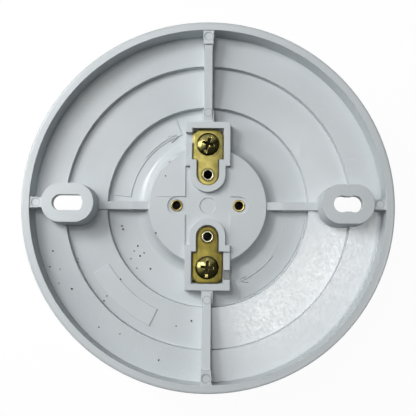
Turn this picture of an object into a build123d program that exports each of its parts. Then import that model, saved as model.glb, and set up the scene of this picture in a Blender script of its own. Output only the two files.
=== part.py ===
from build123d import *
import os
from math import cos, radians, sin, tan

# Junction box cover with a built-in lamp socket, seen in use from its wiring side.
#
# A round moulded plate closes an octagonal ceiling box and is held by two slotted ears.
# Its far side carries a socket barrel with a rolled screw shell. Two brass terminals stand
# in walled housings on the wiring side, and hollow eyelets tie all the metal to the moulding.
#
# The origin is the centre of the rim's seating plane. +Z points out of the wiring side, X runs
# through the two ears and Y through the two terminals. Lengths are in millimetres, and a depth
# is measured down from the seating plane.

os.makedirs("parts", exist_ok=True)

# Plate: rim, three floors that step down towards the middle, and the raised disc
outer_r = 59.0
rim_width = 2.5
rim_edge_break = 0.4
rim_wall_run = 0.2
wall_foot_break = 0.5
plate_wall = 2.3
skirt_run = 0.5
front_edge_radius = 3.0
outer_floor_depth = 6.8
middle_floor_depth = 9.0
inner_floor_depth = 11.5
step_run = 0.2
outer_step_r = 46.2
inner_step_r = 32.8
disc_r = 19.1
disc_depth = 7.3
disc_wall_run = 2.0
disc_foot_radius = 3.6
disc_edge_break = 0.3

# Cross-shaped channel pressed into the disc, with a gate mark at its middle
channel_drop = 0.4
channel_end_r = 2.95
gate_mark_r = 2.6
gate_mark_drop = 0.25

# Fine score line that carries one edge of the channel on to the disc's left side
score_length = 6.5
score_width = 0.25
score_depth = 0.1

# Socket barrel on the far side
cup_floor_wall = 3.0
mouth_depth = 40.0
bore_r = 15.4
bore_lead = 1.5
mouth_bore_r = 16.8
mouth_bore_length = 4.5
barrel_base_r = 19.7
barrel_neck_r = 18.9
barrel_foot_radius = 2.0
lip_r = 19.7
lip_length = 3.0
lip_break = 0.7

# Ears that take the box screws. The gap to the rim sets their slots 88.9 apart.
ear_rim_gap = 3.7
ear_length = 16.7
ear_width = 12.5
ear_flat = 6.0
ear_web = 3.0
ear_wall = 1.6
ear_draft = 3.0
slot_length = 9.8
slot_width = 5.0
slot_square_short = 0.3
slot_corner_r = 1.2
twin_hole_r = 2.65
twin_hole_offset = 1.95
twin_waist_drop = 0.25

# Ribs, the stubs that tie them to the rim, and the round marks left by the ejector pins
rib_width = 2.6
rib_draft = 2.5
low_rib_depth = 7.8
tall_rib_outer_depth = 0.5
tall_rib_inner_depth = 6.3
stub_depth = 0.35
stub_width = 3.2
stub_pin_inset = 2.0
stub_boss_r = 1.75
stub_flare = 1.6
pad_width = 3.7
pad_depth = 6.0
pad_pin_r = 30.5
pin_mark_r = 1.4
pin_mark_drop = 0.15

# Terminals: eyelet circle, screw circle, brass plate and its walled housing
eyelet_circle_r = 10.15
screw_circle_r = 20.2
plate_thickness = 0.8
plate_head_length = 10.0
plate_head_width = 10.0
plate_tongue_width = 7.0
plate_fold = 1.7
plate_lug_angle = 55.0
plate_lug_trim = 0.45
collar_wall = 0.7
collar_height = 0.9
plate_clearance = 0.2
housing_wall = 2.1
housing_depth = 5.8
plate_top_depth = 7.5
wire_notch_width = 3.1
wire_notch_offset = 2.25
low_wall_drop = 0.8
pocket_clearance = 0.3

# Terminal screws
screw_r = 1.75
screw_length = 4.6
screw_tip_break = 0.4
thread_clearance = 0.05
head_r = 3.75
head_height = 2.3
head_edge = 0.9
slot_cut_width = 1.0
slot_cut_depth = 1.0
cross_cut_length = 4.0
cross_cut_depth = 1.4
line_screw_turn = -17.0
neutral_screw_turn = -5.0

# Hollow eyelets
eyelet_r = 1.6
eyelet_bore_r = 1.3
eyelet_roll_r = 1.95
eyelet_roll_height = 0.45
eyelet_roll_break = 0.2
eyelet_head_r = 2.5
eyelet_head_thickness = 0.3
eyelet_clearance = 0.05

# Rolled screw shell
shell_wall = 0.35
thread_minor_r = 12.35
thread_major_r = 13.25
thread_pitch = 3.63
thread_turns = 4.5
shell_neck = 3.6
shell_lip = 1.6
shell_lip_flare = 0.5
flange_hole_r = 7.4
window_width = 10.0

# Centre contact leaf
leaf_thickness = 0.5
leaf_width = 5.0
leaf_rise = 5.6
leaf_bend_gap = 1.2
leaf_top_half = 1.6
leaf_tail_run = 2.0
leaf_tail_drop = 1.3
leaf_bend_radius = 1.5

# Raised bare label fields on the floors: inner radius, outer radius, start and end angle
label_height = 0.25
wiring_label = (25.7, 32.2, 110.0, 173.0)
rating_label = (37.3, 43.2, 211.0, 244.5)

# Worked out once, for the pieces that share them
rim_inner_r = outer_r - rim_width
channel_depth = disc_depth + channel_drop
cup_floor_depth = channel_depth + cup_floor_wall
seat_depth = plate_top_depth + plate_thickness
front_outer_depth = outer_floor_depth + plate_wall
front_middle_depth = middle_floor_depth + plate_wall
front_inner_depth = inner_floor_depth + plate_wall
ear_x = rim_inner_r - ear_rim_gap - ear_length / 2
stub_pin_r = rim_inner_r - stub_pin_inset
ear_inner_x = ear_x - ear_length / 2
cavity_half_width = plate_head_width / 2 + plate_clearance
tongue_half_width = plate_tongue_width / 2 + plate_clearance
plate_end_y = screw_circle_r + plate_head_length / 2
plate_neck_y = screw_circle_r - plate_head_length / 2
cavity_end_y = plate_end_y + plate_clearance
cavity_neck_y = plate_neck_y - plate_clearance
housing_half_width = cavity_half_width + housing_wall
housing_end_y = cavity_end_y + housing_wall
housing_neck_y = cavity_neck_y - housing_wall
housing_round_r = tongue_half_width + housing_wall
plate_screw_hole_r = screw_r + thread_clearance
collar_r = plate_screw_hole_r + collar_wall
screw_pocket_r = collar_r + pocket_clearance
screw_pocket_depth = plate_top_depth + screw_length + pocket_clearance
eyelet_hole_r = eyelet_r + eyelet_clearance
wire_notch_y = screw_circle_r + wire_notch_offset
flange_depth = cup_floor_depth + shell_wall
leaf_foot_depth = cup_floor_depth + leaf_thickness


def ear_outline(inset):
    """Two flats joined by round ends, drawn about the ear's centre and set in by a margin."""
    half_width = ear_width / 2 - inset
    half_length = ear_length / 2 - inset
    with BuildSketch() as outline:
        with BuildLine():
            top = Line((-ear_flat / 2, half_width), (ear_flat / 2, half_width))
            ThreePointArc(top @ 1, (half_length, 0), (ear_flat / 2, -half_width))
            bottom = Line((ear_flat / 2, -half_width), (-ear_flat / 2, -half_width))
            ThreePointArc(bottom @ 1, (-half_length, 0), top @ 0)
        make_face()
    return outline.sketch


def ring_sector(inner_r, outer_r, start, end):
    """Part of a flat ring between two angles."""
    with BuildSketch() as sector:
        with BuildLine():
            outer = CenterArc((0, 0), outer_r, start, end - start)
            inner = CenterArc((0, 0), inner_r, start, end - start)
            Line(outer @ 0, inner @ 0)
            Line(outer @ 1, inner @ 1)
        make_face()
    return sector.sketch


def terminal_outline(half_width, round_half_width, neck_y, end_y):
    """Square head with a narrower tongue that ends round about the eyelet."""
    with BuildSketch() as outline:
        with BuildLine():
            arc_left = (-round_half_width, eyelet_circle_r)
            arc_low = (0, eyelet_circle_r - round_half_width)
            arc_right = (round_half_width, eyelet_circle_r)
            ThreePointArc(arc_left, arc_low, arc_right)
            Polyline(
                arc_right,
                (round_half_width, neck_y),
                (half_width, neck_y),
                (half_width, end_y),
                (-half_width, end_y),
                (-half_width, neck_y),
                (-round_half_width, neck_y),
                arc_left,
            )
        make_face()
    return outline.sketch


def stub_outline():
    """Short spoke along +X from the ear's outer end into the rim, with a curved flare at the rim."""
    half_width = stub_width / 2
    root_half = half_width + stub_flare
    start = ear_x + ear_length / 2 - ear_wall / 2
    neck = rim_inner_r - stub_flare
    root = rim_inner_r + rim_width / 2
    flare_radius = 2 * stub_flare
    with BuildSketch() as outline:
        with BuildLine():
            RadiusArc((neck, half_width), (root, root_half), -flare_radius)
            Line((root, root_half), (root, -root_half))
            RadiusArc((root, -root_half), (neck, -half_width), -flare_radius)
            Polyline((neck, -half_width), (start, -half_width), (start, half_width), (neck, half_width))
        make_face()
    return outline.sketch


# The moulding: everything that stands on the wiring side comes first, cut off inside the wall
tall_rib_ends = (
    (housing_end_y - housing_wall / 2, tall_rib_inner_depth),
    (stub_pin_r, tall_rib_outer_depth),
)
feature_depth = front_inner_depth + plate_wall
with BuildPart() as cover_body:
    # Ears
    ears = ear_outline(0)
    with BuildSketch():
        with Locations((-ear_x, 0), (ear_x, 0)):
            add(ears)
    extrude(amount=-feature_depth, taper=-ear_draft)

    # Low ribs from the ears to the disc
    low_rib_length = ear_inner_x + ear_wall / 2 - bore_r - housing_wall
    with BuildSketch(Plane.XY.offset(-low_rib_depth)):
        with PolarLocations(ear_inner_x + ear_wall / 2 - low_rib_length / 2, 2):
            Rectangle(low_rib_length, rib_width)
    extrude(amount=low_rib_depth - feature_depth, taper=-rib_draft)

    # Tall ribs that fall from the rim to the terminal housings
    for side in (-1, 1):
        for y, depth in tall_rib_ends:
            foot_half = rib_width / 2 + (feature_depth - depth) * tan(radians(rib_draft))
            with BuildSketch(Plane.XZ.offset(-side * y)):
                with BuildLine():
                    Polyline(
                        (-rib_width / 2, -depth),
                        (rib_width / 2, -depth),
                        (foot_half, -feature_depth),
                        (-foot_half, -feature_depth),
                        close=True,
                    )
                make_face()
        loft()

    # Stubs that tie the ears and the tall ribs to the rim, flared where they meet it
    stubs = stub_outline()
    with BuildSketch(Plane.XY.offset(-stub_depth)):
        with PolarLocations(0, 4):
            add(stubs)
        with PolarLocations(stub_pin_r, 4):
            Circle(stub_boss_r)
    extrude(amount=stub_depth - feature_depth)

    # Pads where the tall ribs meet the housings
    with BuildSketch(Plane.XY.offset(-pad_depth)):
        with PolarLocations((housing_end_y + pad_pin_r) / 2, 2, start_angle=90):
            Rectangle(pad_pin_r - housing_end_y + housing_wall, pad_width)
        with PolarLocations(pad_pin_r, 2, start_angle=90):
            Circle(pad_width / 2)
    extrude(amount=pad_depth - feature_depth)

    # Terminal housings, solid for now
    housings = terminal_outline(housing_half_width, housing_round_r, housing_neck_y, housing_end_y)
    with BuildSketch(Plane.XY.offset(-housing_depth)):
        with PolarLocations(0, 2):
            add(housings)
    extrude(amount=housing_depth - feature_depth)

    # All of it ends half way through the plate's wall
    mid_wall = plate_wall / 2
    with BuildSketch(Plane.XZ):
        with BuildLine():
            Polyline(
                (0, -seat_depth - mid_wall),
                (bore_r + mid_wall, -seat_depth - mid_wall),
                (bore_r + mid_wall, -inner_floor_depth - mid_wall),
                (inner_step_r + mid_wall, -inner_floor_depth - mid_wall),
                (inner_step_r + mid_wall, -middle_floor_depth - mid_wall),
                (outer_step_r + mid_wall, -middle_floor_depth - mid_wall),
                (outer_step_r + mid_wall, -outer_floor_depth - mid_wall),
                (outer_r, -outer_floor_depth - mid_wall),
                (outer_r, -feature_depth - plate_wall),
                (0, -feature_depth - plate_wall),
                close=True,
            )
        make_face()
    revolve(axis=Axis.Z, mode=Mode.SUBTRACT)

    # Plate and socket barrel, turned as one section
    with BuildSketch(Plane.XZ) as section:
        with BuildLine():
            Polyline(
                (0, -disc_depth),
                (disc_r, -disc_depth),
                (disc_r + disc_wall_run, -inner_floor_depth),
                (inner_step_r, -inner_floor_depth),
                (inner_step_r + step_run, -middle_floor_depth),
                (outer_step_r, -middle_floor_depth),
                (outer_step_r + step_run, -outer_floor_depth),
                (rim_inner_r - rim_wall_run, -outer_floor_depth),
                (rim_inner_r, 0),
                (outer_r, 0),
                (outer_r - skirt_run, -front_outer_depth),
                (outer_step_r + plate_wall, -front_outer_depth),
                (outer_step_r + plate_wall - step_run, -front_middle_depth),
                (inner_step_r + plate_wall, -front_middle_depth),
                (inner_step_r + plate_wall - step_run, -front_inner_depth),
                (barrel_base_r, -front_inner_depth),
                (barrel_neck_r, -mouth_depth + lip_length),
                (lip_r, -mouth_depth + lip_length - (lip_r - barrel_neck_r)),
                (lip_r, -mouth_depth),
                (mouth_bore_r, -mouth_depth),
                (mouth_bore_r, -mouth_depth + mouth_bore_length),
                (bore_r, -mouth_depth + mouth_bore_length + bore_lead),
                (bore_r, -cup_floor_depth),
                (0, -cup_floor_depth),
                close=True,
            )
        make_face()
        corners = section.vertices()
        disc_foot = corners.sort_by_distance((disc_r + disc_wall_run, -inner_floor_depth))[0]
        wall_foot = corners.sort_by_distance((rim_inner_r - rim_wall_run, -outer_floor_depth))[0]
        fillet(disc_foot, disc_foot_radius)
        front_corner = corners.sort_by_distance((outer_r - skirt_run, -front_outer_depth))[0]
        fillet(front_corner, front_edge_radius)
        fillet(corners.sort_by_distance((barrel_base_r, -front_inner_depth))[0], barrel_foot_radius)
        chamfer(corners.sort_by_distance((disc_r, -disc_depth))[0], disc_edge_break)
        chamfer(wall_foot, wall_foot_break)
        chamfer(corners.sort_by_distance((outer_r, 0))[0], rim_edge_break)
        chamfer(corners.sort_by_distance((lip_r, -mouth_depth))[0], lip_break)
        chamfer(corners.sort_by_distance((mouth_bore_r, -mouth_depth))[0], lip_break)
    revolve(axis=Axis.Z)

    # Screw pockets under the ears, open on the far side
    pockets = ear_outline(ear_wall)
    with BuildSketch(Plane.XY.offset(-ear_web)):
        with Locations((-ear_x, 0), (ear_x, 0)):
            add(pockets)
    extrude(amount=ear_web - feature_depth, taper=-ear_draft, mode=Mode.SUBTRACT)

    # Left slot: round at its outer end and nearly square at its inner end. Right slot: two drilled
    # rounds run together.
    square_length = slot_length / 2 - slot_square_short
    with BuildSketch():
        with Locations((-ear_x, 0)):
            SlotOverall(slot_length, slot_width)
        with Locations((-ear_x + square_length / 2, 0)):
            RectangleRounded(square_length, slot_width, slot_corner_r)
        with Locations((ear_x - twin_hole_offset, 0), (ear_x + twin_hole_offset, 0)):
            Circle(twin_hole_r)
        with Locations((ear_x, 0)):
            Rectangle(2 * twin_hole_offset, 2 * (twin_hole_r - twin_waist_drop))
    extrude(amount=-ear_web - plate_wall, mode=Mode.SUBTRACT)

    # Channel: a wide arm in line with the terminals, a narrow one out to the side eyelets
    with BuildSketch(Plane.XY.offset(-disc_depth)):
        Rectangle(2 * housing_half_width, 2 * housing_neck_y)
        Rectangle(2 * eyelet_circle_r, 2 * channel_end_r)
        with PolarLocations(eyelet_circle_r, 2):
            Circle(channel_end_r)
        add(housings, mode=Mode.SUBTRACT)
        add(housings, rotation=180, mode=Mode.SUBTRACT)
    extrude(amount=-channel_drop, mode=Mode.SUBTRACT)
    with BuildSketch(Plane.XY.offset(-channel_depth)):
        Circle(gate_mark_r)
    extrude(amount=-gate_mark_drop, mode=Mode.SUBTRACT)
    with BuildSketch(Plane.XY.offset(-disc_depth)):
        with Locations((-eyelet_circle_r - score_length / 2, channel_end_r - score_width)):
            Rectangle(score_length, score_width)
    extrude(amount=-score_depth, mode=Mode.SUBTRACT)

    # Terminal cavities, wire notches, lowered side walls and the pockets under the screws
    cavities = terminal_outline(cavity_half_width, tongue_half_width, cavity_neck_y, cavity_end_y)
    side_wall_x = -(cavity_half_width + housing_wall / 2)
    low_wall_length = wire_notch_y + wire_notch_width / 2 - cavity_neck_y
    with BuildSketch(Plane.XY.offset(-housing_depth)):
        with PolarLocations(0, 2):
            add(cavities)
    extrude(amount=housing_depth - seat_depth, mode=Mode.SUBTRACT)
    with BuildSketch(Plane.XY.offset(-housing_depth)):
        with PolarLocations(0, 2):
            with Locations((side_wall_x, wire_notch_y)):
                Rectangle(2 * housing_wall, wire_notch_width)
    extrude(amount=housing_depth - seat_depth, mode=Mode.SUBTRACT)
    with BuildSketch(Plane.XY.offset(-housing_depth)):
        with PolarLocations(0, 2):
            with Locations((side_wall_x, cavity_neck_y + low_wall_length / 2)):
                Rectangle(2 * housing_wall, low_wall_length)
    extrude(amount=-low_wall_drop, mode=Mode.SUBTRACT)
    with BuildSketch(Plane.XY.offset(-seat_depth)):
        with PolarLocations(screw_circle_r, 2, start_angle=90):
            Circle(screw_pocket_r)
    extrude(amount=seat_depth - screw_pocket_depth, mode=Mode.SUBTRACT)

    # Eyelet holes through the cup floor
    with BuildSketch(Plane.XY.offset(-disc_depth)):
        with PolarLocations(eyelet_circle_r, 4):
            Circle(eyelet_hole_r)
    extrude(amount=disc_depth - cup_floor_depth - cup_floor_wall, mode=Mode.SUBTRACT)

    # Ejector pin marks on the stubs and pads
    with BuildSketch(Plane.XY.offset(-stub_depth)):
        with PolarLocations(stub_pin_r, 4):
            Circle(pin_mark_r)
    extrude(amount=-pin_mark_drop, mode=Mode.SUBTRACT)
    with BuildSketch(Plane.XY.offset(-pad_depth)):
        with PolarLocations(pad_pin_r, 2, start_angle=90):
            Circle(pin_mark_r)
    extrude(amount=-pin_mark_drop, mode=Mode.SUBTRACT)

    # Raised bare label fields
    wiring_field = ring_sector(*wiring_label)
    with BuildSketch(Plane.XY.offset(-inner_floor_depth - label_height)):
        with PolarLocations(0, 2):
            add(wiring_field)
    extrude(amount=2 * label_height)
    with BuildSketch(Plane.XY.offset(-middle_floor_depth - label_height)):
        add(ring_sector(*rating_label))
    extrude(amount=2 * label_height)
cover_body.part.label = "cover_body"
export_step(cover_body.part, "parts/cover_body.step")


# Rolled screw shell: the section of the thread is a folded line of even wall, turned once
thread_start = flange_depth + shell_neck
thread_points = [
    (
        thread_major_r if half_turn % 2 == 0 else thread_minor_r,
        -thread_start - half_turn * thread_pitch / 2,
    )
    for half_turn in range(int(2 * thread_turns) + 1)
]
shell_end_r, shell_end_z = thread_points[-1]
inner_line = [
    (flange_hole_r, -flange_depth),
    (thread_major_r, -flange_depth),
    *thread_points,
    (shell_end_r + shell_lip_flare, shell_end_z - shell_lip),
]
outer_line = [(r + shell_wall, z) for r, z in inner_line]
outer_line[0] = (flange_hole_r, -cup_floor_depth)
outer_line[1] = (thread_major_r + shell_wall, -cup_floor_depth)
with BuildPart() as screw_shell:
    with BuildSketch(Plane.XZ):
        with BuildLine():
            Polyline(*inner_line, *reversed(outer_line), close=True)
        make_face()
    revolve(axis=Axis.Z)
    # Rivet holes at both sides and at the neutral terminal
    with BuildSketch(Plane.XY.offset(-cup_floor_depth)):
        with PolarLocations(eyelet_circle_r, 3, start_angle=180, angular_range=270):
            Circle(eyelet_hole_r)
    extrude(amount=-shell_wall, mode=Mode.SUBTRACT)
    # Window that keeps the shell clear of the centre contact's rivet
    with BuildSketch(Plane.XY.offset(-cup_floor_depth)):
        with Locations((0, outer_r / 2)):
            Rectangle(window_width, outer_r)
    extrude(amount=-shell_wall - shell_neck, mode=Mode.SUBTRACT)
screw_shell.part.label = "screw_shell"
export_step(screw_shell.part, "parts/screw_shell.step")


# Centre contact: a leaf riveted flat to the cup floor that springs out to the middle of the socket
leaf_end_y = eyelet_circle_r + leaf_width / 2
leaf_bend_y = eyelet_circle_r - eyelet_head_r - leaf_bend_gap
leaf_mid_z = -cup_floor_depth - leaf_thickness / 2
with BuildPart() as centre_contact:
    with BuildSketch(Plane.YZ):
        with BuildLine() as leaf_line:
            FilletPolyline(
                (leaf_end_y, leaf_mid_z),
                (leaf_bend_y, leaf_mid_z),
                (leaf_top_half, leaf_mid_z - leaf_rise),
                (-leaf_top_half, leaf_mid_z - leaf_rise),
                (-leaf_top_half - leaf_tail_run, leaf_mid_z - leaf_rise + leaf_tail_drop),
                radius=leaf_bend_radius,
            )
        trace(line_width=leaf_thickness)
    extrude(amount=leaf_width / 2, both=True)
    foot_corners = centre_contact.edges().filter_by(Axis.Z).group_by(Axis.Y)[-1]
    fillet(foot_corners, leaf_width / 2 - leaf_thickness / 2)
    with BuildSketch(Plane.XY.offset(-cup_floor_depth)):
        with Locations((0, eyelet_circle_r)):
            Circle(eyelet_hole_r)
    extrude(amount=-leaf_thickness, mode=Mode.SUBTRACT)
centre_contact.part.label = "centre_contact"
export_step(centre_contact.part, "parts/centre_contact.step")


# Terminal plate: square head, round tongue, threaded collar and two wire lugs folded up
fold_middle = plate_fold / 2
lug_half = plate_fold / 2 * 2**0.5 - plate_lug_trim
with BuildPart() as terminal_plate:
    with BuildSketch(Plane.XY.offset(-seat_depth)) as blank:
        add(terminal_outline(plate_head_width / 2, plate_tongue_width / 2, plate_neck_y, plate_end_y))
        chamfer(blank.vertices().group_by(Axis.Y)[-1], plate_fold)
    extrude(amount=plate_thickness)
    with BuildSketch(Plane.XY.offset(-seat_depth)):
        with Locations((0, screw_circle_r)):
            Circle(collar_r)
    extrude(amount=-collar_height)
    for side in (-1, 1):
        fold_point = (
            side * (plate_head_width / 2 - fold_middle),
            plate_end_y - fold_middle,
            -seat_depth + plate_thickness / 2,
        )
        outward = Vector(side, 1, 0).normalized()
        along = Vector(-1, side, 0).normalized()
        rise = outward * cos(radians(plate_lug_angle)) + Vector(0, 0, 1) * sin(radians(plate_lug_angle))
        with BuildSketch(Plane(origin=fold_point, x_dir=along, z_dir=along.cross(rise))):
            with BuildLine():
                Polyline((lug_half, 0), (0, lug_half), (-lug_half, 0), close=True)
            make_face()
        extrude(amount=plate_thickness / 2, both=True)
    with BuildSketch(Plane.XY.offset(-plate_top_depth)):
        with Locations((0, screw_circle_r)):
            Circle(plate_screw_hole_r)
        with Locations((0, eyelet_circle_r)):
            Circle(eyelet_hole_r)
    extrude(amount=-plate_thickness - collar_height, mode=Mode.SUBTRACT)
for name, turn in (("line_terminal_plate", 0), ("neutral_terminal_plate", 180)):
    plate = terminal_plate.part.rotate(Axis.Z, turn)
    plate.label = name
    export_step(plate, f"parts/{name}.step")


# Terminal screw: low domed head with a slot crossed by a short recess, and a plain shank
head_top_z = -plate_top_depth + head_height
head_edge_z = -plate_top_depth + head_edge
with BuildPart() as terminal_screw:
    with BuildSketch(Plane.XZ):
        with BuildLine():
            dome = TangentArc((0, head_top_z), (head_r, head_edge_z), tangent=(1, 0))
            Polyline(
                dome @ 1,
                (head_r, -plate_top_depth),
                (screw_r, -plate_top_depth),
                (screw_r, -plate_top_depth - screw_length + screw_tip_break),
                (screw_r - screw_tip_break, -plate_top_depth - screw_length),
                (0, -plate_top_depth - screw_length),
                (0, head_top_z),
            )
        make_face()
    revolve(axis=Axis.Z)
    with BuildSketch(Plane.XY.offset(head_top_z)):
        Rectangle(slot_cut_width, 2 * head_r)
    extrude(amount=-slot_cut_depth, mode=Mode.SUBTRACT)
    with BuildSketch(Plane.XY.offset(head_top_z)):
        Rectangle(cross_cut_length, slot_cut_width)
        Rectangle(slot_cut_width, cross_cut_length)
    extrude(amount=-cross_cut_depth, mode=Mode.SUBTRACT)
for name, side, turn in (
    ("line_terminal_screw", 1, line_screw_turn),
    ("neutral_terminal_screw", -1, neutral_screw_turn),
):
    screw = terminal_screw.part.rotate(Axis.Z, turn).translate((0, side * screw_circle_r, 0))
    screw.label = name
    export_step(screw, f"parts/{name}.step")


# Eyelets: name, place, the depth under the rolled end and the depth under the flat head
eyelets = (
    ("line_eyelet", (0, eyelet_circle_r), plate_top_depth, leaf_foot_depth),
    ("neutral_eyelet", (0, -eyelet_circle_r), plate_top_depth, flange_depth),
    ("left_shell_eyelet", (-eyelet_circle_r, 0), channel_depth, flange_depth),
    ("right_shell_eyelet", (eyelet_circle_r, 0), channel_depth, flange_depth),
)
for name, place, roll_depth, head_depth in eyelets:
    with BuildPart() as eyelet:
        with BuildSketch(Plane.XZ):
            with BuildLine():
                roll_top = -roll_depth + eyelet_roll_height
                Polyline(
                    (eyelet_bore_r, roll_top - eyelet_roll_break),
                    (eyelet_bore_r + eyelet_roll_break, roll_top),
                    (eyelet_roll_r - eyelet_roll_break, roll_top),
                    (eyelet_roll_r, roll_top - eyelet_roll_break),
                    (eyelet_roll_r, -roll_depth),
                    (eyelet_r, -roll_depth),
                    (eyelet_r, -head_depth),
                    (eyelet_head_r, -head_depth),
                    (eyelet_head_r, -head_depth - eyelet_head_thickness),
                    (eyelet_bore_r, -head_depth - eyelet_head_thickness),
                    close=True,
                )
            make_face()
        revolve(axis=Axis.Z)
    rivet = eyelet.part.translate((*place, 0))
    rivet.label = name
    export_step(rivet, f"parts/{name}.step")
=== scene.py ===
# %% [markdown]
# # Junction box cover with a lamp socket
#
# The object is a round white moulding that closes a ceiling junction box. Its wiring side looks
# up at the camera: two brass screw terminals in walled housings, four hollow rivets, two slotted
# ears. A screw lamp socket hangs under it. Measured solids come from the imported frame, and this
# script gives them their finish and adds the fine pieces that solids don't carry.

# %% Load the frame
from math import cos, pi, radians, sin

import bpy
from mathutils import Matrix, Vector


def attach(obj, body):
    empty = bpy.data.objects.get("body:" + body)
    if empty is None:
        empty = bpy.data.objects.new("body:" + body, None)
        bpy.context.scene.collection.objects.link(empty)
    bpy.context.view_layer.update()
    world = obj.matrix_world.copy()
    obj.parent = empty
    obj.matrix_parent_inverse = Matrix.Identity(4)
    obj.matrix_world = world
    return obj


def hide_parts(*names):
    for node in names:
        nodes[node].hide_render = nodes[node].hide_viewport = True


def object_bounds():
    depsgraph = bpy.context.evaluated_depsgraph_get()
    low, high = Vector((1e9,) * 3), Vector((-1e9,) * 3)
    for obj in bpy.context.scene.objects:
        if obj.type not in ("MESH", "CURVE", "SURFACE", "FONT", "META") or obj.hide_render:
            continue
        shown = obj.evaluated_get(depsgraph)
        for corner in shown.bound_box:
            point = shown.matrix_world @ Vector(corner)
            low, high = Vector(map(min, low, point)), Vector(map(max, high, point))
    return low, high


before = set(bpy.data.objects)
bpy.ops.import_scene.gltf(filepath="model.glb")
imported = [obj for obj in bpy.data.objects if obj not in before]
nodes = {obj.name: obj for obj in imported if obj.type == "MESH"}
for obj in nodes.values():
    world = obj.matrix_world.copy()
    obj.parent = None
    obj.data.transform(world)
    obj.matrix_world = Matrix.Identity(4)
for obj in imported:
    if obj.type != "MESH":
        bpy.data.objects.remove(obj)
cad_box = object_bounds()
print("nodes:", ", ".join(sorted(nodes)))
MM = 0.001
SCENE = bpy.context.scene

# %% [markdown]
# ## The camera
#
# Ellipses fitted to the rim and to the steps of the floor say where the photographer stood:
# 224 mm above the rim, 25 mm towards the lower terminal and 3 mm to the right, with the camera
# turned by half a degree. The lens follows from the scale at the rim, 3.17 pixels to the
# millimetre in a picture 416 pixels wide.

# %% Camera
PICTURE_WIDTH = 416
SENSOR_WIDTH = 36
PIXELS_PER_MM = 3.170
CAMERA_PLACE = Vector((3.0, -25.5, 224.0)) * MM
CAMERA_AIM = Vector((0.2, -1.57, 0.0)) * MM
CAMERA_ROLL = radians(0.45)


def facing(place, aim, turn=0.0):
    """Rotation that looks from a place to an aim with +Y up, then turned about that line."""
    forward = (Vector(aim) - Vector(place)).normalized()
    right = forward.cross(Vector((0, 1, 0))).normalized()
    look = Matrix((right, right.cross(forward), -forward)).transposed().to_4x4()
    return (look @ Matrix.Rotation(turn, 4, "Z")).to_euler()


camera_data = bpy.data.cameras.new("camera")
camera_data.sensor_width = SENSOR_WIDTH
distance_mm = (CAMERA_PLACE - CAMERA_AIM).length / MM
camera_data.lens = SENSOR_WIDTH * PIXELS_PER_MM * distance_mm / PICTURE_WIDTH
camera_data.clip_start = 0.01
camera_data.clip_end = 10
camera = bpy.data.objects.new("camera", camera_data)
SCENE.collection.objects.link(camera)
camera.location = CAMERA_PLACE
camera.rotation_euler = facing(CAMERA_PLACE, CAMERA_AIM, CAMERA_ROLL)
SCENE.camera = camera
print("lens", round(camera_data.lens, 1), "mm")

# %% [markdown]
# ## Helpers for node trees
#
# The sky, the floor, the finishes and the rule-shaped pieces are all node trees. One helper adds a
# node and joins its inputs in one call, so that a tree reads as a short list of what the real
# surface or piece has. Inputs go by name, or by place as i0, i1 and so on.

# %% Tree helpers
class Wiring:
    """Short ways to add nodes to a tree."""

    def __init__(self, tree):
        self.tree = tree

    def add(self, kind, **values):
        """New node; names of inputs take a number, a colour or another node's output."""
        node = self.tree.nodes.new(kind)
        for key, value in values.items():
            if hasattr(node, key) and key not in node.inputs:
                setattr(node, key, value)
                continue
            by_place = key[0] == "i" and key[1:].isdigit()
            socket = node.inputs[int(key[1:]) if by_place else key]
            if isinstance(value, bpy.types.NodeSocket):
                self.tree.links.new(value, socket)
            else:
                socket.default_value = value
        return node

    def math(self, operation, one, other=0.0, third=0.0):
        """One sum on numbers or outputs."""
        return self.add("ShaderNodeMath", operation=operation, i0=one, i1=other, i2=third).outputs[0]

    def largest(self, *values):
        """The largest of several numbers or outputs."""
        result = values[0]
        for value in values[1:]:
            result = self.math("MAXIMUM", result, value)
        return result

    def all_of(self, *tests):
        """Product of several tests or shares: 1 only where each is 1."""
        result = tests[0]
        for test in tests[1:]:
            result = self.math("MULTIPLY", result, test)
        return result

    def length(self, across, along):
        """Distance from the middle by its two parts."""
        flat = self.add("ShaderNodeCombineXYZ", i0=across, i1=along).outputs[0]
        return self.add("ShaderNodeVectorMath", operation="LENGTH", i0=flat).outputs["Value"]

    def from_pair(self, across, along, radius):
        """Distance from the nearer of two axes, which stand on either side of the middle."""
        offset = self.math("SUBTRACT", self.math("ABSOLUTE", along), radius * MM)
        return self.length(across, offset)

    def ramp(self, value, low, high, to_low, to_high, curve="LINEAR"):
        """Maps a value from one range to another."""
        node = self.add("ShaderNodeMapRange", interpolation_type=curve, i0=value)
        for index, number in enumerate((low, high, to_low, to_high), 1):
            if isinstance(number, bpy.types.NodeSocket):
                self.tree.links.new(number, node.inputs[index])
            else:
                node.inputs[index].default_value = number
        return node.outputs[0]


# %% [markdown]
# ## Light
#
# The left of the cover is brighter than the right and its shadows fall to the lower right with soft
# edges, so four lamps of different softness stand at the upper left, and a wide one overhead fills
# in. The glare on the floors at the right is the reflection of three more lamps: each hangs where a
# mirror in the floor would show it to the camera at the glare's place.

# %% Lamp helpers
SCENE.view_settings.view_transform = "Standard"
MIDDLE = (0, 0, 0)


def add_lamp(name, place, aim, size, power, turn=0):
    """Soft lamp at a place in metres, pointed at its aim and turned about that line by degrees."""
    data = bpy.data.lights.new(name, "AREA")
    data.shape = "RECTANGLE"
    data.size, data.size_y = size
    data.energy = power
    lamp = bpy.data.objects.new(name, data)
    SCENE.collection.objects.link(lamp)
    lamp.location = place
    lamp.rotation_euler = facing(place, aim, radians(turn))
    return lamp


def around(azimuth, elevation, distance):
    """A place in metres, by its two angles in degrees as seen from the middle of the cover."""
    a, e = radians(azimuth), radians(elevation)
    return (distance * cos(e) * cos(a), distance * cos(e) * sin(a), distance * sin(e))


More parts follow.
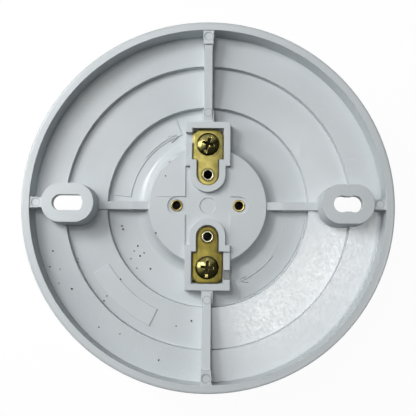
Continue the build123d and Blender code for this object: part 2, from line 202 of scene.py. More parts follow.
# %% Lamps
# Name, place and width in metres, and watts
LAMPS = (
    ("side_lamp", around(143, 47, 0.45), 0.13, 0.75),
    ("soft_lamp", around(143, 60, 0.80), 0.30, 1.11),
    ("low_lamp", around(165, 24, 0.24), 0.12, 0.27),
    ("high_lamp", around(128, 74, 0.60), 0.07, 0.62),
    ("top_lamp", (0.0, -0.02, 1.0), 0.30, 1.45),
)
WITHOUT_GLOSS = ("high_lamp", "top_lamp")
for name, place, width, watts in LAMPS:
    lamp = add_lamp(name, place, MIDDLE, (width, width), watts)
    lamp.visible_glossy = name not in WITHOUT_GLOSS
print("lamps:", ", ".join(row[0] for row in LAMPS))

# %% Glare
GLARE_LAMP_Z = 1.0
GLARE_FLOOR_Z = -9 * MM


def add_glare(name, spot, size, power, turn):
    """Lamp whose mirror image in the floors is seen at a spot, in millimetres. It adds gloss only."""
    x, y = spot[0] * MM, spot[1] * MM
    ratio = (GLARE_LAMP_Z - GLARE_FLOOR_Z) / (CAMERA_PLACE.z - GLARE_FLOOR_Z)
    place = (x + (x - CAMERA_PLACE.x) * ratio, y + (y - CAMERA_PLACE.y) * ratio, GLARE_LAMP_Z)
    add_lamp(name, place, (x, y, 0), size, power, turn).visible_diffuse = False


# Name, spot in millimetres, size in metres, watts and turn in degrees
GLARES = (
    ("right_glare", (42, -17), (0.13, 0.09), 1.02, 50),
    ("lower_glare", (20, -35), (0.13, 0.09), 0.97, 20),
    ("upper_glare", (29, 19), (0.05, 0.05), 0.29, 0),
)
for glare in GLARES:
    add_glare(*glare)
print("glare:", ", ".join(row[0] for row in GLARES))

# %% [markdown]
# ## Sky and floor
#
# The sky that metal reflects is bright at the upper left and dark overhead, where the photographer
# stood. To the camera, sky and floor are both nearly white, as round the cover in the photograph.
# The floor doesn't glow inside the socket's mouth, so that no light comes up through the rivets.

# %% Sky
SKY_COLOUR = (0.94, 0.97, 1.0, 1)
SKY_ON_SURFACES = 0.02
SKY_TOWARDS = (-0.6, 0.8, 0.0)
DARK_LEAN, BRIGHT_LEAN = -0.05, 0.40
DARK_SKY, BRIGHT_SKY = 0.05, 0.70
BACKGROUND_GLOW = 0.96

world = bpy.data.worlds.new("world")
SCENE.world = world
world.use_nodes = True
sky = world.node_tree.nodes["Background"]
sky.inputs["Color"].default_value = SKY_COLOUR
air = Wiring(world.node_tree)
rays = air.add("ShaderNodeLightPath").outputs
direction = air.add("ShaderNodeTexCoord").outputs["Generated"]
lean = air.add("ShaderNodeVectorMath", operation="DOT_PRODUCT", i0=direction, i1=SKY_TOWARDS).outputs["Value"]
in_metal = air.ramp(lean, DARK_LEAN, BRIGHT_LEAN, DARK_SKY, BRIGHT_SKY)
reflected = air.ramp(rays["Is Glossy Ray"], 0, 1, SKY_ON_SURFACES, in_metal)
seen = air.math("MULTIPLY", rays["Is Camera Ray"], BACKGROUND_GLOW)
world.node_tree.links.new(air.largest(reflected, seen), sky.inputs["Strength"])
print("sky:", len(world.node_tree.nodes), "nodes")

# %% Floor
FLOOR_GAP = 0.1 * MM
FLOOR_HALF_WIDTH = 3.0
PAPER_COLOUR = (0.9, 0.9, 0.9, 1)
UNDER_SOCKET_R = 19 * MM
FLOOR_Z = cad_box[0].z - FLOOR_GAP
CORNER_SIDES = ((-1, -1), (1, -1), (1, 1), (-1, 1))
corners = [(x * FLOOR_HALF_WIDTH, y * FLOOR_HALF_WIDTH, FLOOR_Z) for x, y in CORNER_SIDES]
floor_mesh = bpy.data.meshes.new("floor")
floor_mesh.from_pydata(corners, [], [(0, 1, 2, 3)])
floor = bpy.data.objects.new("floor", floor_mesh)
SCENE.collection.objects.link(floor)
floor_material = bpy.data.materials.new("floor_paper")
floor_material.use_nodes = True
floor_material.node_tree.nodes.clear()
paper = Wiring(floor_material.node_tree)
matte = paper.add("ShaderNodeBsdfDiffuse", Color=PAPER_COLOUR).outputs[0]
glow = paper.add("ShaderNodeEmission").outputs[0]
rays = paper.add("ShaderNodeLightPath").outputs
spot = paper.add("ShaderNodeTexCoord").outputs["Object"]
from_socket = paper.add(
    "ShaderNodeVectorMath", operation="DISTANCE", i0=spot, i1=(0, 0, FLOOR_Z)
).outputs["Value"]
outside = paper.math("GREATER_THAN", from_socket, UNDER_SOCKET_R)
seen = paper.largest(rays["Is Camera Ray"], rays["Is Glossy Ray"])
glowing = paper.all_of(seen, outside, BACKGROUND_GLOW)
mixed = paper.add("ShaderNodeMixShader", i0=glowing, i1=matte, i2=glow).outputs[0]
paper.add("ShaderNodeOutputMaterial", i0=mixed)
floor_mesh.materials.append(floor_material)
print("floor", round(FLOOR_Z / MM, 2), "mm from the rim")

# %% [markdown]
# ## White moulded plastic
#
# The moulding is a pale grey-white thermoplastic with a soft gloss. Real mouldings are never quite
# even: flow from the middle gate leaves faint clouds in the colour, and the steel's polish leaves a
# very fine grain that breaks up the glare. The two outer floors were polished in the mould, while
# the inner floor and the label fields are duller. The edges are a little rounded, which a Bevel node
# gives the shading without changing the solid. Grey lines stand round the ejector pins' marks.
# The floor of the lower terminal's wire notch is darkened as painted shade.

# %% Finish helper
class Finish(Wiring):
    """A node material with one Principled shader."""

    def __init__(self, name):
        self.material = bpy.data.materials.new(name)
        self.material.use_nodes = True
        super().__init__(self.material.node_tree)
        self.shader = self.tree.nodes["Principled BSDF"]
        self.coordinates = self.add("ShaderNodeTexCoord").outputs["Object"]

    def noise(self, scale, detail=3.0, roughness=0.5):
        """Noise with its scale per metre."""
        return self.add(
            "ShaderNodeTexNoise", Vector=self.coordinates, Scale=scale, Detail=detail, Roughness=roughness
        ).outputs["Fac"]

    def blend(self, share, one, other):
        """Colour between two, by a share from 0 to 1."""
        node = self.add("ShaderNodeMix", data_type="RGBA")
        for index, value in ((0, share), (6, one), (7, other)):
            if isinstance(value, bpy.types.NodeSocket):
                self.tree.links.new(value, node.inputs[index])
            else:
                node.inputs[index].default_value = value if index == 0 else (*value, 1)
        return node.outputs[2]

    def bump(self, height, distance, strength=1.0, normal=None):
        """Bump of a height output, in metres."""
        node = self.add("ShaderNodeBump", Height=height, Distance=distance, Strength=strength)
        if normal:
            self.tree.links.new(normal, node.inputs["Normal"])
        return node.outputs[0]

    def set(self, **values):
        """Shader inputs, with underscores for spaces."""
        for key, value in values.items():
            socket = self.shader.inputs[key.replace("_", " ")]
            if isinstance(value, bpy.types.NodeSocket):
                self.tree.links.new(value, socket)
            else:
                is_colour = isinstance(value, tuple) and len(value) == 3
                socket.default_value = (*value, 1) if is_colour else value


def dress(node, material):
    """Gives a mesh that one material all over."""
    node.data.materials.clear()
    node.data.materials.append(material)


# %% Plastic: places and grain
GRAIN_SCALE = 1400

plastic = Finish("white_plastic")
point = plastic.add("ShaderNodeSeparateXYZ", Vector=plastic.coordinates).outputs
radius = plastic.length(point["X"], point["Y"])
grain = plastic.noise(GRAIN_SCALE, 2)


def near(value, middle, reach):
    """Test for a value within reach of a middle, both in millimetres."""
    return plastic.math("COMPARE", value, middle * MM, reach * MM)


# %% Plastic: polish
# Share of polish by the depth of each floor, then lengths in millimetres
FLOOR_POLISH = {6.8: 0.94, 9.0: 0.98, 11.5: 0.3}
FLOOR_REACH = 0.06
FOOT_TOP, FOOT_BOTTOM, FOOT_R = 7.5, 11.4, 24.5
SKIRT_R = 58.2

floors = [
    plastic.all_of(near(point["Z"], -depth, FLOOR_REACH), share)
    for depth, share in FLOOR_POLISH.items()
]
under_top = plastic.math("LESS_THAN", point["Z"], -FOOT_TOP * MM)
above_floor = plastic.math("GREATER_THAN", point["Z"], -FOOT_BOTTOM * MM)
by_disc = plastic.math("LESS_THAN", radius, FOOT_R * MM)
skirt = plastic.math("GREATER_THAN", radius, SKIRT_R * MM)
polish = plastic.largest(*floors, plastic.all_of(under_top, above_floor, by_disc), skirt)
print("polished floors:", FLOOR_POLISH)

# %% Plastic: pin marks and painted shade in the notch
# Lengths in millimetres, apart from the two shades
PIN_LINE_R, PIN_LINE_HALF, PIN_LINE_DROP, PIN_LINE_SHADE = 1.25, 0.13, 0.6, 0.32
STUB_CIRCLE, STUB_TOP = 54.5, -0.4
PAD_CIRCLE, PAD_TOP = 30.5, -5.5
# The notch's floor is darkened as painted shade, in place of the shadow of its walls
NOTCH_PLACE, NOTCH_REACH, NOTCH_SHADE = (6.25, -22.45, -8.3), (1.0, 1.5, 0.2), 0.8


def pin_line(across, along, circle, top):
    """Line round the marks of one pair of ejector pins, at one height."""
    line = near(plastic.from_pair(across, along, circle), PIN_LINE_R, PIN_LINE_HALF)
    return plastic.all_of(line, near(point["Z"], top, PIN_LINE_DROP), PIN_LINE_SHADE)


pins = (
    pin_line(point["X"], point["Y"], STUB_CIRCLE, STUB_TOP),
    pin_line(point["Y"], point["X"], STUB_CIRCLE, STUB_TOP),
    pin_line(point["X"], point["Y"], PAD_CIRCLE, PAD_TOP),
)
sides = [near(value, middle, reach) for value, middle, reach in zip(point, NOTCH_PLACE, NOTCH_REACH)]
# Grey pin lines, and painted shade on the floor of the notch
shade = plastic.largest(*pins, plastic.all_of(*sides, NOTCH_SHADE))
print("pairs of pin marks:", len(pins))

# %% Plastic: edges
# Radii in millimetres: the rim's outer edge is rounder than the others
EDGE_ROUND, RIM_ROUND, RIM_OUTSIDE_R, RIM_BLEND = 0.25, 0.9, 57.0, 0.5
RIPPLE_SCALE, RIPPLE_HEIGHT = 260, 0.007

edge_radius = plastic.ramp(
    radius, RIM_OUTSIDE_R * MM, (RIM_OUTSIDE_R + RIM_BLEND) * MM, EDGE_ROUND * MM, RIM_ROUND * MM
)
rounded = plastic.add("ShaderNodeBevel", samples=4, Radius=edge_radius).outputs[0]
skin = plastic.bump(plastic.noise(RIPPLE_SCALE, 3), RIPPLE_HEIGHT * MM, 1.0, rounded)

# %% White plastic
PALE, PALER, GREY = (0.52, 0.557, 0.572), (0.55, 0.587, 0.602), (0.03, 0.033, 0.033)
SATIN, POLISHED = (0.50, 0.62), (0.17, 0.26)
CLOUD_SCALE, CLOUD_RANGE = 45, (0.35, 0.65)
GRAIN_HEIGHT, GRAIN_RANGE = 0.0015, (0.3, 0.7)
PLASTIC_IOR = 1.49

clouds = plastic.ramp(plastic.noise(CLOUD_SCALE, 4), *CLOUD_RANGE, 0, 1)
satin = plastic.ramp(grain, *GRAIN_RANGE, *SATIN)
gap = plastic.math("SUBTRACT", plastic.ramp(grain, *GRAIN_RANGE, *POLISHED), satin)
plastic.set(
    Base_Color=plastic.blend(shade, plastic.blend(clouds, PALE, PALER), GREY),
    Roughness=plastic.math("MULTIPLY_ADD", gap, polish, satin),
    Normal=plastic.bump(grain, GRAIN_HEIGHT * MM, 1.0, skin),
    IOR=PLASTIC_IOR,
)
dress(nodes["cover_body"], plastic.material)
print("white plastic:", len(plastic.tree.nodes), "nodes")

# %% [markdown]
# ## Brass
#
# Each brass piece was made in its own way, and that is what the eye reads. The terminal plates are
# blanked from brushed strip, so their grain runs one way. The lower plate is a darker copy of the
# upper one, as painted shade, and both are painted darker towards the right and on their folded lugs.
# Screws are turned and tumbled; their cross recess is coloured near black, and painted shade rings each
# head where it meets the plate. The terminal rivets are plated paler than the other two, the bores and
# outer folds of all four rivets carry painted shade, and the shell and the leaf are thin rolled sheet.

# %% Brass finish
# Dark colour that the darkening functions blend in: painted shade, and dark rings and recesses
DARK_MARKS_AND_SHADE = (0.012, 0.010, 0.006)
TARNISH_SCALE, TARNISH_RANGE, MOST_TARNISH = 420, (0.36, 0.66), 0.85
BRUSH_HEIGHT, BRUSH_STRENGTH, BRUSH_RANGE = 0.008, 0.6, (0.3, 0.7)
SMOOTHER, ROUGHER = 0.06, 0.1


def brass(name, light, dark, roughness, streaks=(1, 1, 1), streak_scale=900.0, edge=0.15, darkening=None):
    """Metal with brushed or tumbled grain, patches of tarnish and edges rounded by the die."""
    finish = Finish(name)
    stretched = finish.add("ShaderNodeMapping", Vector=finish.coordinates, Scale=streaks).outputs[0]
    grain = finish.add("ShaderNodeTexNoise", Vector=stretched, Scale=streak_scale, Detail=3.0)
    brushed = grain.outputs["Fac"]
    tarnish = finish.ramp(finish.noise(TARNISH_SCALE, 5), *TARNISH_RANGE, 0, MOST_TARNISH)
    rounded = finish.add("ShaderNodeBevel", samples=6, Radius=edge * MM).outputs[0]
    colour = finish.blend(tarnish, light, dark)
    # The darkening function paints shade, and dark marks, into the colour
    if darkening:
        spot = finish.add("ShaderNodeSeparateXYZ", Vector=finish.coordinates).outputs
        colour = finish.blend(darkening(finish, spot), colour, DARK_MARKS_AND_SHADE)
    finish.set(
        Metallic=1.0,
        Base_Color=colour,
        Roughness=finish.ramp(brushed, *BRUSH_RANGE, roughness - SMOOTHER, roughness + ROUGHER),
        Normal=finish.bump(brushed, BRUSH_HEIGHT * MM, BRUSH_STRENGTH, rounded),
    )
    return finish.material


# %% Marks and painted shade on the plates
# Radii and places in millimetres, then the share of the dark colour
RIVET_CIRCLE = 10.15
SCORE_R, SCORE_HALF, SCORE_SHADE = 2.25, 0.10, 0.75
# Painted shade: the folded lugs are darker, and the plate darkens towards its right side
LUG_LOW, LUG_HIGH, LUG_SHADE = -7.45, -7.0, 0.8
LIT_SIDE, SHADED_SIDE, SIDE_SHADE = -1.0, 4.0, 0.55


def plate_marks_and_shade(finish, spot):
    """Darker ring round the rivet, and painted shade on the folded lugs and towards the right side."""
    distance = finish.from_pair(spot["X"], spot["Y"], RIVET_CIRCLE)
    score = finish.math("COMPARE", distance, SCORE_R * MM, SCORE_HALF * MM)
    lugs = finish.ramp(spot["Z"], LUG_LOW * MM, LUG_HIGH * MM, 0, LUG_SHADE)
    right_side_shade = finish.ramp(spot["X"], LIT_SIDE * MM, SHADED_SIDE * MM, 0, SIDE_SHADE, "SMOOTHSTEP")
    return finish.largest(finish.all_of(score, SCORE_SHADE), lugs, right_side_shade)


# %% Marks and painted shade on the screws
SCREW_CIRCLE = 20.2
RECESS_TOP, RECESS_R, RECESS_SHADE = -6.05, 2.15, 0.97
# Painted shade round the head's edge, where it meets the plate
HEAD_SHADE_FROM, HEAD_SHADE_TO, HEAD_SHADE = 2.7, 3.6, 0.85


def screw_marks_and_shade(finish, spot):
    """Near-black cross recess, and painted shade round the head's edge where it meets the plate."""
    distance = finish.from_pair(spot["X"], spot["Y"], SCREW_CIRCLE)
    deep = finish.math("LESS_THAN", spot["Z"], RECESS_TOP * MM)
    inside = finish.math("LESS_THAN", distance, RECESS_R * MM)
    rim = finish.ramp(distance, HEAD_SHADE_FROM * MM, HEAD_SHADE_TO * MM, 0, HEAD_SHADE, "SMOOTHSTEP")
    return finish.largest(finish.all_of(deep, inside, RECESS_SHADE), rim)


# %% Painted shade on the rivets
# Painted shade inside the bore and on the fold outside the bright roll
BORE_R, BORE_SHADE = 1.46, 0.96
FOLD_FROM, FOLD_TO, FOLD_SHADE = 1.72, 1.88, 0.8


def rivet_painted_shade(finish, spot):
    """Painted shade: a blackened bore, and a darker outer fold round the bright roll."""
    lengthways = finish.from_pair(spot["X"], spot["Y"], RIVET_CIRCLE)
    sideways = finish.from_pair(spot["Y"], spot["X"], RIVET_CIRCLE)
    nearest = finish.math("MINIMUM", lengthways, sideways)
    bore = finish.math("LESS_THAN", nearest, BORE_R * MM)
    fold = finish.ramp(nearest, FOLD_FROM * MM, FOLD_TO * MM, 0, FOLD_SHADE)
    return finish.largest(finish.all_of(bore, BORE_SHADE), fold)


# %% Brass finishes
STRIP = {"streaks": (14, 1, 14), "streak_scale": 260, "edge": 1.0, "darkening": plate_marks_and_shade}
RIVET = {"edge": 0.12, "darkening": rivet_painted_shade}
# Name, light colour, tarnished colour and roughness, then the grain's stretch and scale
line_brass = brass("line_plate_brass", (0.46, 0.395, 0.12), (0.27, 0.225, 0.066), 0.36, **STRIP)
# The lower plate's brass is a darker copy of the upper plate's, as painted shade
shaded_neutral_brass = brass("neutral_plate_brass", (0.22, 0.18, 0.042), (0.13, 0.105, 0.024), 0.36, **STRIP)
screw_brass = brass("screw_brass", (0.42, 0.37, 0.13), (0.20, 0.17, 0.06), 0.16, darkening=screw_marks_and_shade)
shell_rivet_brass = brass("shell_rivet_brass", (0.66, 0.53, 0.20), (0.42, 0.32, 0.10), 0.22, **RIVET)
eyelet_brass = brass("eyelet_brass", (0.80, 0.76, 0.55), (0.60, 0.54, 0.34), 0.22, **RIVET)
shell_brass = brass("shell_brass", (0.74, 0.58, 0.24), (0.60, 0.45, 0.16), 0.28, (1, 1, 8), 120)
leaf_brass = brass("contact_brass", (0.72, 0.55, 0.20), (0.55, 0.40, 0.13), 0.30, (12, 1, 1), 200)

# %% Dressing the brass pieces
BRASS_OF_NODE = {
    "line_terminal_plate": line_brass,
    "neutral_terminal_plate": shaded_neutral_brass,
    "line_terminal_screw": screw_brass,
    "neutral_terminal_screw": screw_brass,
    "line_eyelet": eyelet_brass,
    "neutral_eyelet": eyelet_brass,
    "left_shell_eyelet": shell_rivet_brass,
    "right_shell_eyelet": shell_rivet_brass,
    "screw_shell": shell_brass,
    "centre_contact": leaf_brass,
}
for node_name, material in BRASS_OF_NODE.items():
    dress(nodes[node_name], material)
    print(node_name, "is dressed in", material.name)

# %% [markdown]
# ## Rolled screw shell
#
# The solid stands in for the rolled thread with a stack of rings, which can't climb. A real shell is
# one thin sheet whose wall winds round at the lamp's pitch, so Geometry Nodes bend a flat grid into
# it: one side of the grid goes round, the other runs over the flange, down the neck, through the
# turns and out to the lip. The sheet then gets its wall, the rivet holes and the window.

# %% Shape helper
SHARP_ANGLE = radians(38)


class Shape(Wiring):
    """A Geometry Nodes tree with named sizes. It ends in Realize Instances and Set Material."""

    def __init__(self, name, **sizes):
        super().__init__(bpy.data.node_groups.new(name, "GeometryNodeTree"))
        sockets = self.tree.interface
        sockets.new_socket("Geometry", in_out="INPUT", socket_type="NodeSocketGeometry")
        self.keys = {}
        for key, value in sizes.items():
            kind = "NodeSocketInt" if isinstance(value, int) else "NodeSocketFloat"
            socket = sockets.new_socket(key.replace("_", " "), in_out="INPUT", socket_type=kind)
            self.keys[key] = socket.identifier
        sockets.new_socket("Geometry", in_out="OUTPUT", socket_type="NodeSocketGeometry")
        self.sizes = sizes
        self.entry = self.tree.nodes.new("NodeGroupInput")

    def size(self, key):
        """Output that carries one of the named sizes."""
        return self.entry.outputs[key.replace("_", " ")]

    def finish(self, geometry, material):
        """Last nodes of the tree."""
        self.material = material
        plain = self.add("GeometryNodeRealizeInstances", Geometry=geometry).outputs[0]
        dressed = self.add("GeometryNodeSetMaterial", Geometry=plain, Material=material).outputs[0]
        self.add("NodeGroupOutput", Geometry=dressed)

    def make(self, name, body, slot, points=(), edges=()):
        """Runs the tree on a few points and edges and keeps the result as a plain mesh on a body."""
        start = bpy.data.meshes.new(name)
        start.from_pydata(points, edges, [])
        piece = bpy.data.objects.new(name, start)
        SCENE.collection.objects.link(piece)
        modifier = piece.modifiers.new("shape", "NODES")
        modifier.node_group = self.tree
        for key, value in self.sizes.items():
            modifier[self.keys[key]] = value
        graph = bpy.context.evaluated_depsgraph_get()
        grown = bpy.data.meshes.new_from_object(piece.evaluated_get(graph))
        piece.modifiers.remove(modifier)
        piece.data = grown
        grown.materials.clear()
        grown.materials.append(self.material)
        grown.shade_smooth()
        grown.set_sharp_from_angle(angle=SHARP_ANGLE)
        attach(piece, body)
        print(name, len(grown.polygons), "faces")
        return piece


# %% Shell: sizes
shell = Shape(
    "rolled_shell",
    hole_radius=7.4 * MM,
    major_radius=13.25 * MM,
    thread_depth=0.9 * MM,
    pitch=3.63 * MM,
    turns=4.5,
    neck=3.6 * MM,
    lip=1.6 * MM,
    lip_flare=0.5 * MM,
    flange_height=-11.05 * MM,
    wall=0.35 * MM,
    rivet_circle=10.15 * MM,
    rivet_hole=1.65 * MM,
    window_width=10 * MM,
    steps_round=121,
    steps_down=111,
)
flange_run = shell.math("SUBTRACT", shell.size("major_radius"), shell.size("hole_radius"))
thread_run = shell.math("MULTIPLY", shell.size("turns"), shell.size("pitch"))
straight_run = shell.math("ADD", shell.size("neck"), shell.size("lip"))
whole_run = shell.math("ADD", shell.math("ADD", flange_run, thread_run), straight_run)
print("shell sizes:", ", ".join(shell.sizes))

# %% Shell: thread
FADE_TURNS = 0.4

sheet = shell.add(
    "GeometryNodeMeshGrid", i0=1.0, i1=1.0, i2=shell.size("steps_round"), i3=shell.size("steps_down")
).outputs["Mesh"]
spot = shell.add("ShaderNodeSeparateXYZ", i0=shell.add("GeometryNodeInputPosition").outputs[0])
turn = shell.math("MULTIPLY_ADD", spot.outputs[0], 2 * pi, pi)
along = shell.math("MULTIPLY", shell.math("ADD", spot.outputs[1], 0.5), whole_run)
down = shell.math("MAXIMUM", shell.math("SUBTRACT", along, flange_run), 0.0)
in_thread = shell.math("SUBTRACT", down, shell.size("neck"))
fade_run = shell.math("MULTIPLY", shell.size("pitch"), FADE_TURNS)
fade_in = shell.ramp(in_thread, 0, fade_run, 0, 1, "SMOOTHSTEP")
last_part = shell.math("SUBTRACT", thread_run, fade_run)
fade_out = shell.ramp(in_thread, last_part, thread_run, 1, 0, "SMOOTHSTEP")
phase = shell.math("MULTIPLY_ADD", shell.math("DIVIDE", in_thread, shell.size("pitch")), 2 * pi, turn)
groove = shell.math("MULTIPLY_ADD", shell.math("COSINE", phase), -0.5, 0.5)
cut = shell.math("MULTIPLY", shell.math("MULTIPLY", groove, shell.size("thread_depth")), fade_in)
cut = shell.math("MULTIPLY", cut, fade_out)
whole_thread = shell.math("ADD", thread_run, shell.size("lip"))
flare = shell.ramp(in_thread, thread_run, whole_thread, 0, shell.size("lip_flare"), "SMOOTHSTEP")
reach = shell.math("MINIMUM", shell.math("ADD", along, shell.size("hole_radius")), shell.size("major_radius"))
reach = shell.math("ADD", shell.math("SUBTRACT", reach, cut), flare)

# %% Shell: rolling and wall
# The sheet's normals point at the axis, so an offset below zero lays the wall on its outside
SEAM = 0.002 * MM

bent = shell.add(
    "ShaderNodeCombineXYZ",
    i0=shell.math("MULTIPLY", reach, shell.math("COSINE", turn)),
    i1=shell.math("MULTIPLY", reach, shell.math("SINE", turn)),
    i2=shell.math("SUBTRACT", shell.size("flange_height"), down),
).outputs[0]
rolled = shell.add("GeometryNodeSetPosition", Geometry=sheet, Position=bent).outputs[0]
closed = shell.add("GeometryNodeMergeByDistance", Geometry=rolled, Distance=SEAM).outputs[0]
outwards = shell.math("MULTIPLY", shell.size("wall"), -1.0)
walled = shell.add("GeometryNodeExtrudeMesh", Mesh=closed, Individual=False)
shell.tree.links.new(outwards, walled.inputs["Offset Scale"])
outside_wall = shell.add("GeometryNodeFlipFaces", Mesh=walled.outputs["Mesh"]).outputs[0]
both_walls = shell.add("GeometryNodeJoinGeometry")
for wall_side in (closed, outside_wall):
    shell.tree.links.new(wall_side, both_walls.inputs[0])
merged = shell.add("GeometryNodeMergeByDistance", Geometry=both_walls.outputs[0], Distance=SEAM)

# %% Shell: rivet holes
# The window opens at quarter 1, so there are three holes
DRILL_DEPTH = 4 * MM

drill = shell.add("GeometryNodeMeshCylinder", Vertices=32, Radius=shell.size("rivet_hole"), Depth=DRILL_DEPTH)
cutters = shell.add("GeometryNodeJoinGeometry")
for quarter in (0, 2, 3):
    sideways = shell.math("MULTIPLY", shell.size("rivet_circle"), round(cos(quarter * pi / 2)))
    upwards = shell.math("MULTIPLY", shell.size("rivet_circle"), round(sin(quarter * pi / 2)))
    hole_spot = shell.add("ShaderNodeCombineXYZ", i0=sideways, i1=upwards, i2=shell.size("flange_height"))
    hole = shell.add("GeometryNodeTransform", Geometry=drill.outputs["Mesh"])
    shell.tree.links.new(hole_spot.outputs[0], hole.inputs["Translation"])
    shell.tree.links.new(hole.outputs[0], cutters.inputs[0])

# %% Shell: window
CUTTER_REACH = 40 * MM
WINDOW_TOP = 2 * MM

window_height = shell.math("ADD", shell.size("neck"), WINDOW_TOP)
window_size = shell.add(
    "ShaderNodeCombineXYZ", i0=shell.size("window_width"), i1=CUTTER_REACH, i2=window_height
)
window_drop = shell.math("MULTIPLY_ADD", window_height, -0.5, WINDOW_TOP)
window_z = shell.math("ADD", shell.size("flange_height"), window_drop)
window_spot = shell.add("ShaderNodeCombineXYZ", i0=0.0, i1=CUTTER_REACH / 2, i2=window_z)
block = shell.add("GeometryNodeMeshCube", Size=window_size.outputs[0]).outputs["Mesh"]
window = shell.add("GeometryNodeTransform", Geometry=block, Translation=window_spot.outputs[0]).outputs[0]
shell.tree.links.new(window, cutters.inputs[0])

# %% Screw shell
cut_shell = shell.add("GeometryNodeMeshBoolean", operation="DIFFERENCE", solver="EXACT")
shell.tree.links.new(merged.outputs[0], cut_shell.inputs["Mesh 1"])
shell.tree.links.new(cutters.outputs[0], cut_shell.inputs["Mesh 2"])
shell.finish(cut_shell.outputs["Mesh"], shell_brass)
rolled_shell = shell.make("rolled_screw_shell", "cover", "shell_brass")
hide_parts("screw_shell")

# %% [markdown]
# ## Arrows on the label fields
#
# A thin raised arrow on each inner label field points the stripped wire into its notch. In the mould
# it is a groove cut along a path, so here too a round section follows a few edges and stands half
# out of the field. The two arrows don't stand at quite the same radius.

# %% Ridge along a path
ridge = Shape("mould_ridge", ridge_radius=0.28 * MM, section_points=10)
path = ridge.add("GeometryNodeMeshToCurve", Mesh=ridge.entry.outputs["Geometry"]).outputs[0]
section = ridge.add(
    "GeometryNodeCurvePrimitiveCircle",
    Resolution=ridge.size("section_points"),
    Radius=ridge.size("ridge_radius"),
).outputs[0]
raised = ridge.add("GeometryNodeCurveToMesh", Curve=path)
ridge.tree.links.new(section, raised.inputs["Profile Curve"])
raised.inputs["Fill Caps"].default_value = True
ridge.finish(raised.outputs[0], plastic.material)

# %% Arrows
FIELD_TOP = -11.25 * MM
SHAFT_STEPS = 16


def ring_point(radius, angle, height):
    """A point by its distance from the middle in millimetres and its angle in degrees."""
    return (radius * MM * cos(radians(angle)), radius * MM * sin(radians(angle)), height)


def arrow(name, shaft_radius, tip, barbs, first_angle, last_angle):
    """Curved shaft that ends between two barbs. The tip and the barbs have a radius and an angle."""
    swing = last_angle - first_angle
    angles = [first_angle + swing * step / SHAFT_STEPS for step in range(SHAFT_STEPS + 1)]
    points = [ring_point(shaft_radius, angle, FIELD_TOP) for angle in angles]
    edges = [(step, step + 1) for step in range(SHAFT_STEPS)]
    edges += [(len(points), len(points) + 1), (len(points) + 1, len(points) + 2)]
    points += [ring_point(*corner, FIELD_TOP) for corner in (barbs[0], tip, barbs[1])]
    ridge.make(name, "cover", "white_plastic", points, edges)


arrow("line_wire_arrow", 26.5, (25.8, 112.9), ((27.4, 119.6), (25.0, 119.6)), 142, 114)
arrow("neutral_wire_arrow", 26.6, (26.5, 293.1), ((28.0, 298.1), (25.9, 298.6)), 323, 295)

# %% [markdown]
# ## Grit on the floors
#
# The cover has been lying about: a few dark grains sit on the floors, most of them at the lower
# left. Each is a small lumpy stone, turned and sized at random with a fixed seed, and it lies on the
# floor that carries it, sunk in by a part of its height.

# %% Grains: places
# Places by the height of the floor, in millimetres
FLOOR_GRAINS = {
    -6.80: (
        (-50.0, -15.2), (-50.8, -20.3), (-47.5, -21.0), (-47.7, -25.5),
        (-43.5, -27.3), (-27.7, -41.5), (-34.5, -39.4), (-15.2, -49.6),
    ),
    -9.00: (
        (-42.2, -17.6), (-42.4, -18.6), (-32.5, -29.5), (-33.4, -31.1),
        (-28.2, -24.1), (-9.9, -39.0), (-5.0, -37.3),
    ),
    -11.50: (
        (-28.4, -6.5), (-28.0, -7.6), (-25.2, -17.3), (-23.0, -13.1), (-24.2, -14.8), (-20.9, -15.4),
        (-22.2, -16.4), (-23.2, -20.4), (-18.7, -20.6),
    ),
    -7.30: ((-16.8, -9.1), (-12.6, 14.3), (-13.9, 9.7)),
}
GRAIN_RISE = 0.06
places = [(x * MM, y * MM, (z + GRAIN_RISE) * MM) for z, spots in FLOOR_GRAINS.items() for x, y in spots]
print("grains:", len(places))

# %% Grains: colour
DARK_GRAIN, LIGHT_GRAIN = (0.045, 0.04, 0.03), (0.14, 0.115, 0.075)
SPECKLE_SCALE, SPECKLE_RANGE = 4000, (0.4, 0.6)

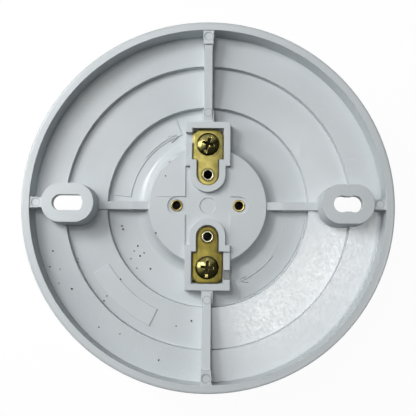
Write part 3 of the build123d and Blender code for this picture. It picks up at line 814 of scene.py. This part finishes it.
dust = Finish("grit")
speckle = dust.ramp(dust.noise(SPECKLE_SCALE), *SPECKLE_RANGE, 0, 1)
dust.set(Base_Color=dust.blend(speckle, DARK_GRAIN, LIGHT_GRAIN), Roughness=0.9)

# %% Grains: stone
LUMP_SCALE, LUMP_HEIGHT = 3500.0, 0.3

grains = Shape("grains", grain_radius=0.31 * MM, smallest=0.7, largest=1.25, seed=7)
ball = grains.add("GeometryNodeMeshIcoSphere", Radius=grains.size("grain_radius"), Subdivisions=2)
lump = grains.add("ShaderNodeTexNoise", Scale=LUMP_SCALE)
stone_normal = grains.add("GeometryNodeInputNormal").outputs[0]
lump_height = grains.math("MULTIPLY", grains.math("SUBTRACT", lump.outputs["Fac"], 0.5), LUMP_HEIGHT * MM)
push = grains.add("ShaderNodeVectorMath", operation="SCALE", i0=stone_normal, Scale=lump_height).outputs[0]
stone = grains.add("GeometryNodeSetPosition", Geometry=ball.outputs["Mesh"], Offset=push).outputs[0]

# %% Grit
GRAIN_WIDTH, GRAIN_THICKNESS = 0.8, 0.5
WHOLE_TURN = 6.28

spin = grains.add("FunctionNodeRandomValue", data_type="FLOAT", i2=0.0, i3=WHOLE_TURN)
grains.tree.links.new(grains.size("seed"), spin.inputs["Seed"])
how_big = grains.add("FunctionNodeRandomValue", data_type="FLOAT", Seed=grains.size("seed"))
grains.tree.links.new(grains.size("smallest"), how_big.inputs[2])
grains.tree.links.new(grains.size("largest"), how_big.inputs[3])
flat_scale = grains.add(
    "ShaderNodeCombineXYZ",
    i0=how_big.outputs[1],
    i1=grains.math("MULTIPLY", how_big.outputs[1], GRAIN_WIDTH),
    i2=grains.math("MULTIPLY", how_big.outputs[1], GRAIN_THICKNESS),
).outputs[0]
turned = grains.add("ShaderNodeCombineXYZ", i2=spin.outputs[1]).outputs[0]
strewn = grains.add("GeometryNodeInstanceOnPoints", Points=grains.entry.outputs["Geometry"], Instance=stone)
grains.tree.links.new(flat_scale, strewn.inputs["Scale"])
grains.tree.links.new(turned, strewn.inputs["Rotation"])
grains.finish(strewn.outputs[0], dust.material)
grains.make("grit", "cover", "white_plastic", places)
